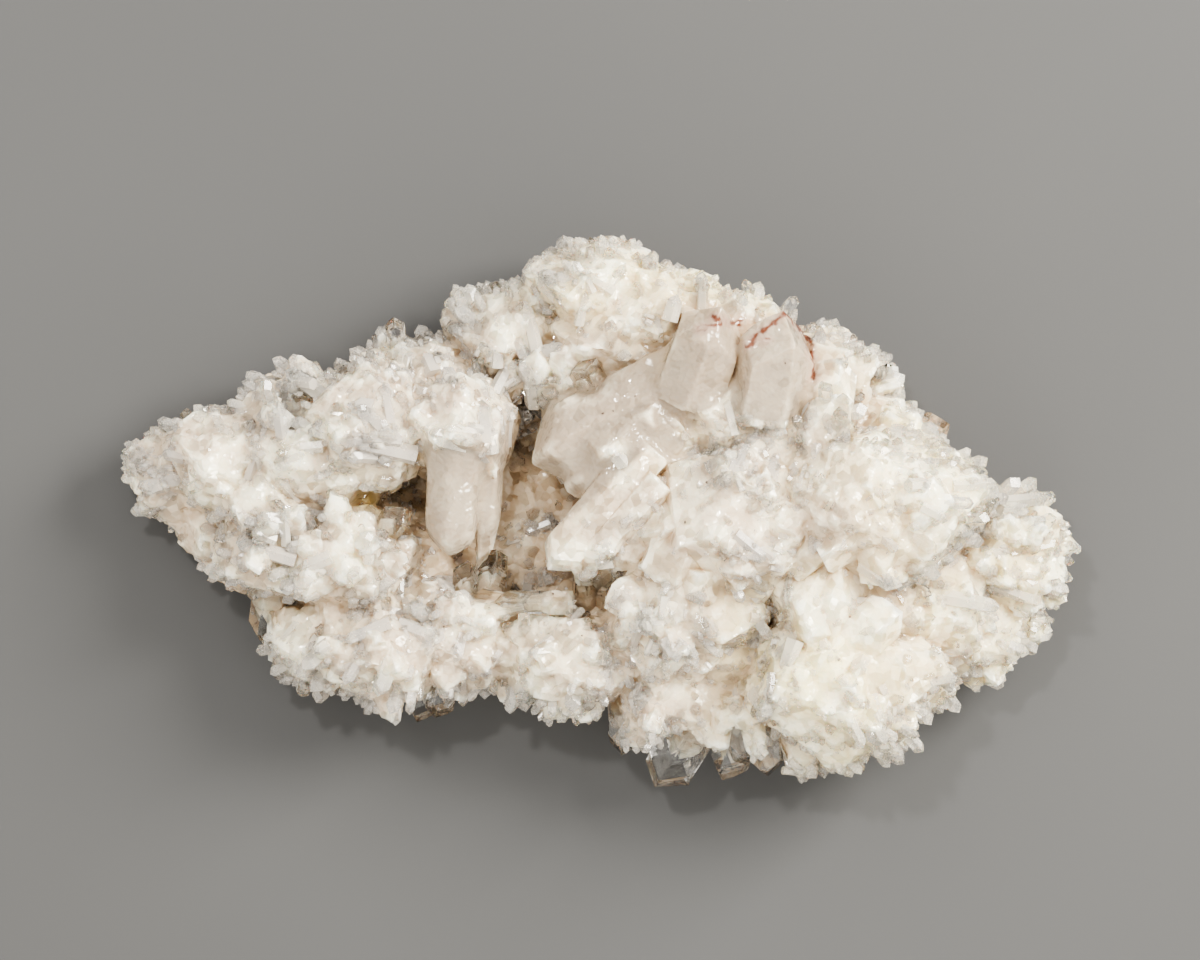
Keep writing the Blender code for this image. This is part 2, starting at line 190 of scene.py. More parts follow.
# %% Floor
QUARTZ_IOR = 1.544


def make_sheet_material():
    """Plain grey paper."""
    material, tree, shader = new_material("grey_sheet")
    place = add(tree, "ShaderNodeTexCoord").outputs["Object"]
    cloud = noise(tree, place, 0.10, detail=2.0)
    colour = ramp(tree, cloud, ((0.3, (0.076, 0.0765, 0.079)), (0.7, (0.082, 0.0825, 0.085))))
    tree.links.new(colour, shader.inputs["Base Color"])
    shader.inputs["Roughness"].default_value = 0.9
    shader.inputs["Specular IOR Level"].default_value = 0.2
    grain = noise(tree, place, 0.0008, detail=2.0)
    bump = add(tree, "ShaderNodeBump", values={"Strength": 0.04, "Distance": 0.0002}, links={"Height": grain})
    tree.links.new(bump.outputs["Normal"], shader.inputs["Normal"])
    return material


def make_floor():
    """A wide plane at the height of the broken base."""
    mesh = bmesh.new()
    bmesh.ops.create_grid(mesh, x_segments=1, y_segments=1, size=3.0)
    data = bpy.data.meshes.new("floor")
    mesh.to_mesh(data)
    mesh.free()
    data.materials.append(make_sheet_material())
    floor = bpy.data.objects.new("floor", data)
    bpy.context.scene.collection.objects.link(floor)
    return floor


make_floor()

# %% [markdown]
# ## Light
# The shadow in the photograph is soft and falls to the lower left, so a window-like panel stands near, at the upper
# right, which also makes the right end the brighter one. A small lamp puts white glints on the faces. The rest of
# the light comes from all round, bright and dim by turns as it is in a room: it fills the hollows, and the glassy
# faces have something to mirror. The picture is developed with a soft shoulder, which keeps shades in bright quartz.


# %% Lights
DAYLIGHT = (1.0, 0.965, 0.87)
LAMPLIGHT = (1.0, 0.97, 0.92)
DIM_ROOM = 0.55
BRIGHT_ROOM = 2.55
WALL_WIDTH = 0.42


def soft_panel(name, place, size, power, colour):
    """A square light that faces the specimen."""
    light = bpy.data.lights.new(name, "AREA")
    light.shape = "SQUARE"
    light.size = size
    light.energy = power
    light.color = colour
    lamp = bpy.data.objects.new(name, light)
    bpy.context.scene.collection.objects.link(lamp)
    lamp.location = place
    lamp.rotation_euler = (Vector(place) * -1.0).to_track_quat("-Z", "Y").to_euler()
    return lamp


soft_panel("window_light", (0.38, 0.20, 0.33), 0.25, 8.0, DAYLIGHT)
soft_panel("ceiling_lamp", (-0.22, 0.30, 0.85), 0.06, 4.0, LAMPLIGHT)

world = bpy.data.worlds.new("room")
bpy.context.scene.world = world
world.use_nodes = True
room = world.node_tree.nodes["Background"]
room.inputs["Color"].default_value = (1.0, 0.965, 0.88, 1.0)

way = add(world.node_tree, "ShaderNodeTexCoord").outputs["Generated"]
walls = noise(world.node_tree, way, WALL_WIDTH, detail=0.0)
lit = ramp(world.node_tree, walls, ((0.44, 0.0), (0.56, 1.0)))
strength = do_math(world.node_tree, "MULTIPLY", lit, BRIGHT_ROOM - DIM_ROOM)
world.node_tree.links.new(do_math(world.node_tree, "ADD", strength, DIM_ROOM), room.inputs["Strength"])
bpy.context.scene.view_settings.look = "AgX - Medium High Contrast"

# %% [markdown]
# ## Where the crystals stand
# Some crystals of the solid are water-clear at the tip, and some are smooth and milky. Their roots, tips and widths
# are listed in millimetres, as they were laid out before the whole was brought to its exact length and depth, so
# every place passes through the same small shift and stretch. The first six smooth ones are large, dense and grey.

# %% Named crystals
LAID_OUT_MIDDLE = Vector((-0.1436, -0.1586, 0.0))
STRETCH = Vector((0.99682, 1.01593, 1.0))


def settle(place):
    """A laid-out place in millimetres, in the finished piece in metres."""
    moved = Vector(place) - LAID_OUT_MIDDLE
    return Vector(moved[axis] * STRETCH[axis] for axis in range(3)) * MM


# Name, root, tip, width, thickness as a share of the width, turn about the long axis in degrees.
CLEAR_CRYSTALS = (
    ("clear_point", (13.5, -23.5, 12.0), (6.7, -34.8, 8.0), 6.6, 0.90, 3),
    ("clear_point_mate", (17.5, -27.0, 9.5), (15.3, -33.7, 7.5), 4.6, 1.00, 20),
    ("front_tip_a", (3.5, -22.0, 11.0), (2.6, -30.6, 9.0), 4.0, 0.90, 10),
    ("front_tip_b", (6.2, -22.5, 11.5), (5.4, -29.8, 9.5), 3.6, 1.00, 40),
    ("front_prism_a", (19.5, -20.5, 16.5), (20.8, -33.2, 10.0), 4.6, 1.00, 12),
    ("front_prism_b", (16.8, -22.5, 15.0), (18.1, -31.5, 11.0), 3.8, 1.00, 50),
    ("round_point", (-1.2, 15.3, 14.0), (-1.9, 16.5, 22.5), 4.2, 1.00, 0),
    ("column_a", (-2.0, -12.5, 11.0), (-1.8, -6.0, 18.0), 3.2, 1.00, 10),
    ("column_b", (1.0, -12.5, 12.0), (0.9, -5.2, 18.0), 3.2, 1.00, 38),
    ("column_c", (5.0, -15.0, 13.0), (4.4, -10.2, 18.5), 3.4, 1.00, 24),
    ("lying_point", (-3.5, -11.6, 16.0), (-13.8, -11.4, 15.0), 3.0, 1.00, 6),
    ("little_point_a", (-14.8, -11.5, 11.0), (-13.0, -4.4, 15.0), 4.0, 1.00, 12),
    ("little_point_b", (-17.0, -12.0, 11.0), (-16.6, -6.0, 14.5), 3.4, 1.00, 42),
    ("little_point_c", (-27.5, -4.5, 14.0), (-24.4, 0.6, 18.0), 3.8, 1.00, 28),
    ("window_point", (-41.0, 8.8, 13.0), (-35.4, 13.8, 17.0), 5.4, 0.80, 15),
    ("left_prism", (-41.3, -9.0, 9.5), (-42.7, -16.9, 7.0), 4.2, 1.00, 18),
    ("low_twin_a", (-21.5, -19.0, 10.0), (-23.5, -26.4, 7.5), 4.0, 1.00, 11),
    ("low_twin_b", (-19.3, -19.0, 10.5), (-20.9, -25.9, 8.5), 3.8, 1.00, 47),
    ("edge_point_a", (29.5, 16.5, 12.5), (33.4, 20.8, 13.0), 4.8, 0.90, 26),
    ("edge_point_b", (30.5, 13.8, 13.5), (35.8, 16.0, 13.5), 5.6, 0.80, 7),
    ("upper_tip", (36.5, 7.2, 13.0), (44.0, 10.7, 14.0), 5.0, 0.90, 13),
    ("spike", (-25.3, 17.5, 11.0), (-26.0, 23.9, 12.5), 2.6, 1.00, 0),
)
SMOOTH_CRYSTALS = (
    ("finger", (-17.8, 10.5, 20.0), (-19.1, -7.4, 17.0), 6.8, 0.90, 8),
    ("finger_mate", (-14.5, 6.0, 16.5), (-14.6, -4.2, 14.0), 4.2, 1.00, 25),
    ("slab", (13.0, 16.5, 20.0), (-10.0, 5.5, 17.5), 10.0, 0.70, 4),
    ("slab_mate", (10.0, 10.5, 20.5), (-5.5, 1.5, 18.0), 7.5, 0.70, 12),
    ("stained_left", (10.5, 13.0, 20.5), (14.8, 24.6, 25.5), 8.6, 0.90, 5),
    ("stained_right", (20.5, 11.0, 21.0), (22.5, 24.4, 26.0), 9.2, 0.90, 28),
    ("bright_slab_a", (28.5, -15.5, 20.0), (29.8, -5.2, 24.5), 10.0, 0.70, 6),
    ("bright_slab_b", (29.5, -16.0, 21.0), (37.4, -12.6, 24.5), 7.0, 0.80, 18),
    ("bright_slab_c", (37.0, -18.5, 19.5), (23.6, -22.4, 20.0), 8.0, 0.65, 10),
    ("centre_peak", (9.0, -8.0, 20.0), (12.0, -0.2, 24.5), 9.0, 0.85, 9),
    ("spur_long", (6.5, 7.5, 22.0), (-7.0, -7.9, 19.0), 5.6, 0.80, 5),
    ("pale_block", (27.0, 12.0, 19.5), (29.8, 18.8, 23.0), 7.0, 0.80, 16),
)
LARGE_MILKY = SMOOTH_CRYSTALS[:6]
print(len(CLEAR_CRYSTALS), "clear crystals and", len(SMOOTH_CRYSTALS), "smooth ones")

# %% [markdown]
# ## The milky body's shape
# The solid's flat faces are far apart, while real quartz steps, swells and dimples at every scale. The body is a
# copy of the solid, welded and divided until its edges are under a millimetre. The two iron-stained crystals are
# divided further, because thin veins are stored on their points. Hard corners are eased, and then small tilted
# planes are pressed in: each point takes the height of the highest of the planes round it, which gives facets and
# not waves. Large smooth crystals get only a trace of that. Where a crystal is clear, the milky body inside it
# shrinks to a cloudy root, and the clear crystal itself is a piece of its own.

# %% Divide the body
LONGEST_EDGE = 0.95 * MM
VEIN_EDGE = 0.32 * MM
MOST_HALVINGS = 7
STAINED_AREA = (settle((9.5, 14.0, 19.0)), settle((28.5, 27.5, 40.0)))


def welded_copy(node):
    """The solid's mesh with its loose triangles joined."""
    mesh = bmesh.new()
    mesh.from_mesh(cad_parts[node].data)
    bmesh.ops.remove_doubles(mesh, verts=mesh.verts, dist=1e-6)
    return mesh


def divide_to(mesh, longest, wanted=lambda place: True):
    """Halve every wanted edge that is too long until none is."""
    for _ in range(MOST_HALVINGS):
        long_edges = [edge for edge in mesh.edges if edge.calc_length() > longest and wanted(edge.verts[0].co)]
        if not long_edges:
            break
        bmesh.ops.subdivide_edges(mesh, edges=long_edges, cuts=1)
        bmesh.ops.triangulate(mesh, faces=[face for face in mesh.faces if len(face.verts) > 3])


def in_stained_area(place):
    """Whether a place lies on the top of the two iron-stained crystals."""
    near, far = STAINED_AREA
    return all(near[axis] < place[axis] < far[axis] for axis in range(3))


# A copy holds its points without the gaps that the weld leaves, and the random draws below meet them in its order.
body = welded_copy(NODE).copy()
divide_to(body, LONGEST_EDGE)
divide_to(body, VEIN_EDGE, wanted=in_stained_area)
print("the body has", len(body.faces), "faces")

# %% Press the facets in
FACET_SPACING = 1.9 * MM
FACET_TILT = 0.20
FACET_DEPTH = 0.20 * MM
FACET_FALL = 0.16
DEEPEST, HIGHEST = -0.5 * MM, 0.45 * MM
EASED = 0.75
# A crystal's skin is taken to reach this far from its axis, in half widths.
CRYSTAL_REACH = 1.28


def nearness(points, crystal):
    """Place along a crystal from root (0) to tip (1), and distance from its axis as a share of its half width."""
    root = np.array(settle(crystal[1]))
    tip = np.array(settle(crystal[2]))
    axis = tip - root
    length = np.linalg.norm(axis)
    axis = axis / length
    away = points - root
    along = away @ axis
    side = np.linalg.norm(away - np.outer(along, axis), axis=1)
    return along / length, side / (crystal[3] * MM / 2.0)


def on_crystals(points, crystals):
    """How far each point belongs to one of the crystals, from 0 to 1."""
    share = np.zeros(len(points))
    for crystal in crystals:
        along, side = nearness(points, crystal)
        inside = np.clip((CRYSTAL_REACH - side) / 0.12, 0.0, 1.0) * (along > 0.05) * (along < 1.1)
        share = np.maximum(share, inside)
    return share


def spread(mesh, values, times):
    """Let a stored value or place run out into the neighbouring points."""
    ends = np.array([[vert.index for vert in edge.verts] for edge in mesh.edges])
    for _ in range(times):
        total = values.copy()
        count = np.ones(len(values))
        for near, far in ((0, 1), (1, 0)):
            np.add.at(total, ends[:, near], values[ends[:, far]])
            np.add.at(count, ends[:, near], 1.0)
        values = (total.T / count).T
    return values


def press_facets(points, normals, rng):
    """Heights of small tilted planes, the highest of those near each point."""
    keep = []
    grid = {}
    for index in rng.permutation(len(points)):
        cell = tuple((points[index] / FACET_SPACING).astype(int))
        near = (
            other for x in (-1, 0, 1) for y in (-1, 0, 1) for z in (-1, 0, 1)
            for other in grid.get((cell[0] + x, cell[1] + y, cell[2] + z), ())
        )
        if all(np.sum((points[index] - points[other]) ** 2) > FACET_SPACING ** 2 * 0.5 for other in near):
            grid.setdefault(cell, []).append(index)
            keep.append(index)
    tree = KDTree(len(keep))
    for number, index in enumerate(keep):
        tree.insert(points[index], number)
    tree.balance()
    tilts = rng.normal(0.0, FACET_TILT, (len(keep), 3))
    lifts = rng.uniform(0.0, FACET_DEPTH, len(keep))
    heights = np.empty(len(points))
    for index, point in enumerate(points):
        best = -1.0
        for _, number, _ in tree.find_n(point, 3):
            away = point - points[keep[number]]
            tilt = tilts[number] - normals[index] * (tilts[number] @ normals[index])
            best = max(best, lifts[number] + tilt @ away - np.linalg.norm(away) * FACET_FALL)
        heights[index] = best
    return heights - heights.mean()


body.normal_update()
points = np.array([vert.co for vert in body.verts])
normals = np.array([vert.normal for vert in body.verts])
smooth_share = on_crystals(points, SMOOTH_CRYSTALS)
clear_share = on_crystals(points, CLEAR_CRYSTALS)
facet_rng = np.random.default_rng(3)
softened = spread(body, points, 2)
softened = points + (softened - points) * (EASED * (1.0 - np.maximum(smooth_share, clear_share)))[:, None]
heights = press_facets(points, normals, facet_rng)
above_ground = np.clip(points[:, 2] / (1.5 * MM), 0.0, 1.0)
heights *= (1.0 - 0.85 * np.maximum(smooth_share, clear_share)) * above_ground
points = softened + normals * np.clip(heights, DEEPEST, HIGHEST)[:, None]
print("facets pressed, highest", round(heights.max() / MM, 2), "mm")

# %% Shrink the milk inside the clear crystals
SHORTER = 0.38
THINNER = 0.42
for crystal in CLEAR_CRYSTALS:
    along, side = nearness(points, crystal)
    root = np.array(settle(crystal[1]))
    axis = np.array(settle(crystal[2])) - root
    inside = (side < CRYSTAL_REACH) & (along > 0.25) & (along < 1.15)
    pull = np.clip((along - 0.25) / 0.35, 0.0, 1.0) * inside
    spine = root + np.outer(along * (1.0 - SHORTER * pull), axis)
    across = (points - root - np.outer(along, axis)) * (1.0 - THINNER * pull)[:, None]
    points = np.where(inside[:, None], spine + across, points)
low, high = np.array(cad_box[0]), np.array(cad_box[1])
points = np.clip(points, low, high)
print("milky roots set in", len(CLEAR_CRYSTALS), "clear crystals")

# %% [markdown]
# ## Worn crystals
# The finger over the hollow is blunt and has no sharp edge left, while the slab and the stained pair are only a
# little worn. Each point of such a crystal moves towards the middle of its neighbours, several times over. That
# rounds edges and leaves wide faces where they are.

# %% Wear the large milky crystals round
ROUNDS_OF_WEAR = (7, 5, 2, 2, 1, 1)


dense = on_crystals(points, LARGE_MILKY)
for crystal, rounds in zip(LARGE_MILKY, ROUNDS_OF_WEAR):
    worn = spread(body, on_crystals(points, (crystal,)), 1)[:, None]
    points = points * (1.0 - worn) + spread(body, points, rounds) * worn
for vert, place in zip(body.verts, points):
    vert.co = place
print("points on large milky crystals:", int((dense > 0.5).sum()))

# %% [markdown]
# ## Painted shade in hollows and creases, painted highlight on ridges
# Light that reaches the bottom of a hollow has passed through quartz, and it comes back warm and dim: that shade is
# painted into the colour here. Each point of the body stores how deep it lies under its surroundings, how far it
# stands out as a ridge or sinks into a crease, how far it is along the piece and how cloudy the quartz is there. The
# finish turns those values into colour: painted shade in hollows and creases, a painted highlight on ridges, and a
# tint that is also painted lighter towards the lit end.


# %% Measure the hollows
def height_field(points, cell, reach):
    """The average of the highest points round each place, on a square grid."""
    x_count = int((high[0] - low[0]) / cell) + 3
    y_count = int((high[1] - low[1]) / cell) + 3
    field = np.zeros((x_count, y_count))
    x_cell = ((points[:, 0] - low[0]) / cell).astype(int) + 1
    y_cell = ((points[:, 1] - low[1]) / cell).astype(int) + 1
    np.maximum.at(field, (x_cell, y_cell), points[:, 2])
    filled = field.copy()
    for _ in range(reach):
        padded = np.pad(filled, 1, mode="edge")
        parts = [padded[i:i + x_count, j:j + y_count] for i in range(3) for j in range(3)]
        filled = np.mean(parts, axis=0)
    return filled[x_cell, y_cell]


def sharpness(mesh, points):
    """How far each point stands out of its neighbours' plane: above 0 on ridges, below 0 in creases."""
    normals = np.array([vert.normal for vert in mesh.verts])
    ends = np.array([[vert.index for vert in edge.verts] for edge in mesh.edges])
    total = np.zeros_like(points)
    count = np.zeros(len(points))
    for near, far in ((0, 1), (1, 0)):
        np.add.at(total, ends[:, near], points[ends[:, far]])
        np.add.at(count, ends[:, near], 1.0)
    gap = points - total / count[:, None]
    return np.sum(gap * normals, axis=1)


def cloudy_field(points, size, seed, detail=3):
    """Soft noise at each point, from about -1 to 1, in patches of about the given size."""
    field = np.zeros(len(points))
    for octave in range(detail):
        scale = 2.0 ** octave / size
        shift = Vector((seed, 0.0, octave))
        field += [noise_at(Vector(place) * scale + shift) / 1.7 ** octave for place in points]
    return field


TINT_AND_LIGHT_DRIFT_RATE = 7.0
DEEP = 9.0 * MM
DIP = 3.0 * MM
EDGE_SHADING_HEIGHT = 0.16 * MM

# The drift carries the quartz's tint from lilac to cream, and it also makes the broad right end lighter as painted
# light from the window side.
tint_and_lit_end_drift = np.clip(0.5 + points[:, 0] * TINT_AND_LIGHT_DRIFT_RATE + 0.35 * cloudy_field(points, 22.0 * MM, 1.3, 2), 0.0, 1.0)
cloud = np.clip(0.5 + 0.9 * cloudy_field(points, 8.0 * MM, 7.1, 4), 0.0, 1.0)
# How deep each point lies below its surroundings: the finish paints warm shade into the colour there.
around = height_field(points, 1.5 * MM, 4)
beside = height_field(points, 1.0 * MM, 3)
dip = np.clip((beside - points[:, 2]) / DIP, 0.0, 1.0)
below = (around - points[:, 2]) / DEEP + 0.35 * dip + 0.16 * cloudy_field(points, 4.0 * MM, 3.7, 2)
hollow_shade = spread(body, np.clip(below, 0.0, 1.0), 3)
body.verts.index_update()
body.normal_update()
# How far a point stands out of its neighbours: ridges get a painted highlight and creases painted shade in the
# finish.
ridge = np.clip(spread(body, sharpness(body, points), 1) / EDGE_SHADING_HEIGHT, -1.0, 1.0)
print("share of the body in hollows:", round(float((hollow_shade > 0.4).mean()), 2))

# %% [markdown]
# ## Milky quartz
# Milky quartz is clear crystal full of tiny bubbles. Light goes in, scatters a few millimetres about and comes out
# again, so edges glow and shadows are soft. Subsurface scattering does that. The skin is glassy, and small faces
# that lean each their own way break its shine into glints: a bump of flat cells makes those too fine for the mesh.
# The colour drifts from lilac white at the narrow end to cream at the broad end, with white clouds in it. Lilac and
# cream are the quartz's tint, and the broad end is also made lighter as painted light, since the window lights that
# end. Ridges are lighter as a painted highlight, creases darker as painted shade, and the colour turns beige where
# the hollow is deep, as painted warm shade. Rust has crept into cracks of two crystals in thin crooked veins. They
# lie flat in the skin, so they are stored as shares of rust on its points, and the scattering stops there, because
# rust is opaque.


# %% Milky quartz finish
RUST_VEINS = (
    ((12.2, 21.3, 26.5), (17.6, 22.9, 25.0)),
    ((13.6, 22.8, 26.0), (17.4, 22.2, 25.0)),
    ((18.6, 20.0, 26.0), (22.6, 23.6, 26.0)),
    ((22.6, 23.6, 26.0), (25.9, 20.6, 25.0)),
    ((25.9, 20.6, 25.0), (26.2, 15.6, 24.0)),
    ((18.2, 19.6, 26.0), (20.4, 20.2, 26.0)),
)
YELLOW_SPOT = (-29.2, 1.3, 13.0)
YELLOW_REACH = 3.0 * MM
VEIN_REACH = 1.1 * MM
VEIN_WANDER = 0.45 * MM


def near_lines(points, lines, wide):
    """For each point 1 on one of the lines as seen from above, falling to 0 at the given distance."""
    best = np.zeros(len(points))
    for start, end in lines:
        start, end = np.array(settle(start))[:2], np.array(settle(end))[:2]
        along = end - start
        share = np.clip((points[:, :2] - start) @ along / (along @ along), 0.0, 1.0)
        gap = np.linalg.norm(points[:, :2] - start - np.outer(share, along), axis=1)
        best = np.maximum(best, 1.0 - gap / wide)
    return best


def stored_rust():
    """Rust in thin crooked veins, and the breath of it round them."""
    line, halo = np.zeros(len(points)), np.zeros(len(points))
    close = np.array([in_stained_area(place) for place in points])
    stained = points[close]
    wander = np.stack([cloudy_field(stained, 1.4 * MM, seed, 2) for seed in (11.0, 17.0, 23.0)], axis=1)
    near = near_lines(stained + wander * VEIN_WANDER, RUST_VEINS, VEIN_REACH)
    patch = np.clip((cloudy_field(stained, 1.6 * MM, 5.0, 2) + 0.35) / 0.3, 0.0, 1.0)
    line[close] = np.clip((near - 0.66) / 0.16, 0.0, 1.0) * patch
    halo[close] = near * 0.45
    return line, halo


rust_line, rust_halo = stored_rust()
yellow_gap = np.linalg.norm(points - np.array(settle(YELLOW_SPOT)), axis=1)
yellow = np.clip(1.0 - yellow_gap / YELLOW_REACH, 0.0, 1.0)
print("points with rust:", int((rust_line > 0.5).sum()))

# %% The colours of quartz
LILAC = (0.64, 0.53, 0.41)
GREY_LILAC = (0.60, 0.495, 0.375)
LIT_CREAM = (0.82, 0.71, 0.46)
LIT_WARM_CREAM = (0.93, 0.83, 0.53)
CLOUD_WHITE = (0.96, 0.885, 0.69)
DENSE_GREY = (0.29, 0.235, 0.18)
PAINTED_EDGE_HIGHLIGHT = (0.97, 0.92, 0.78)
CREASE_SHADE_BROWN = (0.62, 0.46, 0.30)
HOLLOW_SHADE_BEIGE = (0.60, 0.46, 0.32)
RUST_BREATH = (0.40, 0.24, 0.20)
RUST = (0.13, 0.04, 0.02)
YELLOW = (0.66, 0.47, 0.13)
SCATTER_WEIGHT = 0.65
SCATTER_RADIUS = (1.0, 0.82, 0.66)
SCATTER_SCALE = 3.4 * MM


# %% Milky quartz material
def quartz_colour(tree):
    """Lilac to cream and painted lighter at the lit end, clouded white, painted light on ridges, shade in creases and
    hollows.
    """
    # Lilac to cream is the quartz's tint; the lighter cream towards the right end is painted light.
    tinted_and_lit_tone = ramp(tree, attribute(tree, "tint_and_lit_end_drift"), (
        (0.0, LILAC), (0.45, GREY_LILAC), (0.75, LIT_CREAM), (1.0, LIT_WARM_CREAM),
    ))
    white = ramp(tree, attribute(tree, "cloud"), ((0.35, 0.0), (0.90, 0.85)))
    tone = mix_colour(tree, white, tinted_and_lit_tone, CLOUD_WHITE)
    tone = mix_colour(tree, do_math(tree, "MULTIPLY", attribute(tree, "dense"), 0.85), tone, DENSE_GREY)
    # Ridges are lighter: a painted highlight.
    ridge = attribute(tree, "ridge")
    tone = mix_colour(tree, ramp(tree, ridge, ((0.15, 0.0), (0.9, 0.8))), tone, PAINTED_EDGE_HIGHLIGHT)
    # Creases are darker: painted shade.
    painted_crease_shade = ramp(tree, do_math(tree, "MULTIPLY", ridge, -1.0), ((0.15, 0.0), (1.0, 0.7)))
    tone = mix_colour(tree, painted_crease_shade, tone, CREASE_SHADE_BROWN)
    # Deep hollows turn beige and darker: painted warm shade.
    hollow_shade_share = ramp(tree, attribute(tree, "hollow_shade"), ((0.12, 0.0), (0.9, 1.0)))
    return mix_colour(tree, hollow_shade_share, tone, HOLLOW_SHADE_BEIGE)


def make_milky_quartz(name):
    """Cloudy quartz with a glassy skin."""
    material, tree, shader = new_material(name)
    place = add(tree, "ShaderNodeTexCoord").outputs["Object"]
    colour = quartz_colour(tree)
    line, halo = attribute(tree, "rust_line"), attribute(tree, "rust_halo")
    soft_light = do_math(tree, "MULTIPLY", do_math(tree, "SUBTRACT", 1.0, line), SCATTER_WEIGHT)
    tree.links.new(soft_light, shader.inputs["Subsurface Weight"])
    colour = mix_colour(tree, halo, colour, RUST_BREATH)
    colour = mix_colour(tree, line, colour, RUST)
    colour = mix_colour(tree, do_math(tree, "MULTIPLY", attribute(tree, "yellow"), 0.7), colour, YELLOW)
    tree.links.new(colour, shader.inputs["Base Color"])
    gloss = ramp(tree, noise(tree, place, 0.0030, detail=1.0), ((0.35, 0.03), (0.65, 0.17)))
    tree.links.new(gloss, shader.inputs["Roughness"])
    shader.inputs["IOR"].default_value = QUARTZ_IOR
    shader.inputs["Subsurface Radius"].default_value = SCATTER_RADIUS
    shader.inputs["Subsurface Scale"].default_value = SCATTER_SCALE
    evener = do_math(tree, "SUBTRACT", 1.0, do_math(tree, "MULTIPLY", attribute(tree, "dense"), 0.65))
    faces = do_math(tree, "MULTIPLY", facet_height(tree, place, 0.0012, 0.70), evener)
    grain = do_math(tree, "MULTIPLY", noise(tree, place, 0.0005, detail=0.0), 0.00012)
    relief = do_math(tree, "ADD", faces, grain)
    bump = add(tree, "ShaderNodeBump", values={"Strength": 1.0, "Distance": 1.0}, links={"Height": relief})
    tree.links.new(bump.outputs["Normal"], shader.inputs["Normal"])
    return material


milky_quartz = make_milky_quartz("milky_quartz")

# %% Finish the body


def set_attribute(data, name, values):
    """Store one number per point on a mesh."""
    layer = data.attributes.new(name, "FLOAT", "POINT")
    layer.data.foreach_set("value", np.asarray(values, dtype=np.float32))


def place_piece(name, data, material):
    """Put a finished mesh in the scene as a piece that moves with the cluster."""
    data.materials.append(material)
    piece = bpy.data.objects.new(name, data)
    bpy.context.scene.collection.objects.link(piece)
    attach(piece, "root")
    return piece


body_data = bpy.data.meshes.new("milky_body")
body.to_mesh(body_data)
stored = {
    "hollow_shade": hollow_shade, "ridge": ridge, "rust_line": rust_line, "rust_halo": rust_halo, "yellow": yellow,
    "dense": dense, "tint_and_lit_end_drift": tint_and_lit_end_drift, "cloud": cloud,
}
for attribute_name, values in stored.items():
    set_attribute(body_data, attribute_name, values)
body_data.shade_smooth()
body_data.set_sharp_from_angle(angle=math.radians(14))
milky_body = place_piece("milky_body", body_data, milky_quartz)
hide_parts(NODE)
print("milky body placed")

# %% [markdown]
# ## The shape of a quartz crystal
# Quartz grows as a six-sided prism that ends in six sloping faces, three of them larger than the other three. Here
# it starts as a six-sided cylinder and six planes cut its tip. A few such crystals of unlike proportions are made
# once, and each is one unit wide, so that it can be scaled to any crystal on the piece.

# %% Quartz crystals
TIP_FACE_LEAN = math.radians(51.8)


def cut_tip(mesh, point, normal):
    """Cut away what lies past a plane and close the cut."""
    everything = mesh.verts[:] + mesh.edges[:] + mesh.faces[:]
    cut = bmesh.ops.bisect_plane(
        mesh, geom=everything, dist=1e-6, plane_co=point, plane_no=normal, clear_outer=True
    )
    rim = [part for part in cut["geom_cut"] if isinstance(part, bmesh.types.BMEdge)]
    if len(rim) > 2:
        bmesh.ops.edgeloop_fill(mesh, edges=rim)


def crystal_mesh(length, rng, taper=0.86):
    """A crystal one unit wide, rooted at the origin and pointing along Z."""
    mesh = bmesh.new()
    radius = 1.0 / math.sqrt(3.0)
    bmesh.ops.create_cone(
        mesh, cap_ends=True, segments=6, radius1=radius, radius2=radius * taper, depth=length * 1.4,
        matrix=Matrix.Translation((0.0, 0.0, length * 0.7)),
    )
    for side in range(6):
        azimuth = math.radians(30.0 + 60.0 * side)
        normal = Vector((math.cos(azimuth), math.sin(azimuth), 0.0)) * math.sin(TIP_FACE_LEAN)
        normal.z = math.cos(TIP_FACE_LEAN)
        late = rng.uniform(-0.15, 0.0) if side % 2 == 0 else rng.uniform(0.07, 0.30)
        cut_tip(mesh, Vector((0.0, 0.0, length + late)), normal)
    return mesh


def aim_matrix(root, aim, turn):
    """Carries the Z axis to an aim and the origin to a root."""
    swing = aim.to_track_quat("Z", "Y").to_matrix().to_4x4()
    return Matrix.Translation(root) @ swing @ Matrix.Rotation(turn, 4, "Z")


# %% [markdown]
# ## Clear crystals
# The clear points let the light through and bend it, so their far faces show as dark and bright panes. That comes
# from plain glass with quartz's index of refraction. A little absorption tints the thick ones. Each is a closed
# crystal that stands round its cloudy root, with its edges just broken by a fine bevel.


